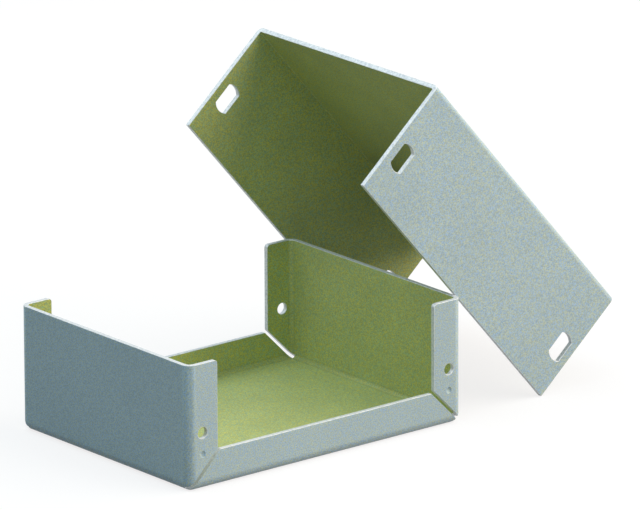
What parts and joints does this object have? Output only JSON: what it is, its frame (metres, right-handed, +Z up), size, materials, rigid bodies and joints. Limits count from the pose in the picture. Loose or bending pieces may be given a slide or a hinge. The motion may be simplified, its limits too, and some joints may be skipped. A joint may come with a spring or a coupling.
{
  "type": "aluminium enclosure",
  "caption": "Small enclosure of folded aluminium sheet: an open tray with eared end walls and low side lips, and its slotted U-shaped cover, taken off and leaning on the back wall.",
  "frame": {"origin": "middle of the tray's underside, on the surface it stands on", "axes": "+X along the tray towards the back wall that the cover leans on, +Y across the tray, +Z up"},
  "size_m": [0.1143, 0.0592, 0.0715],
  "materials": {
    "tray_sheet": "satin grey-blue paint outside, yellow chromate inside, bright cut edges",
    "cover_sheet": "satin grey-blue paint outside, yellow chromate inside, bright cut edges"
  },
  "bodies": {
    "root": {"base_tray": "tray_sheet", "cover": "cover_sheet"}
  },
  "joints": []
}
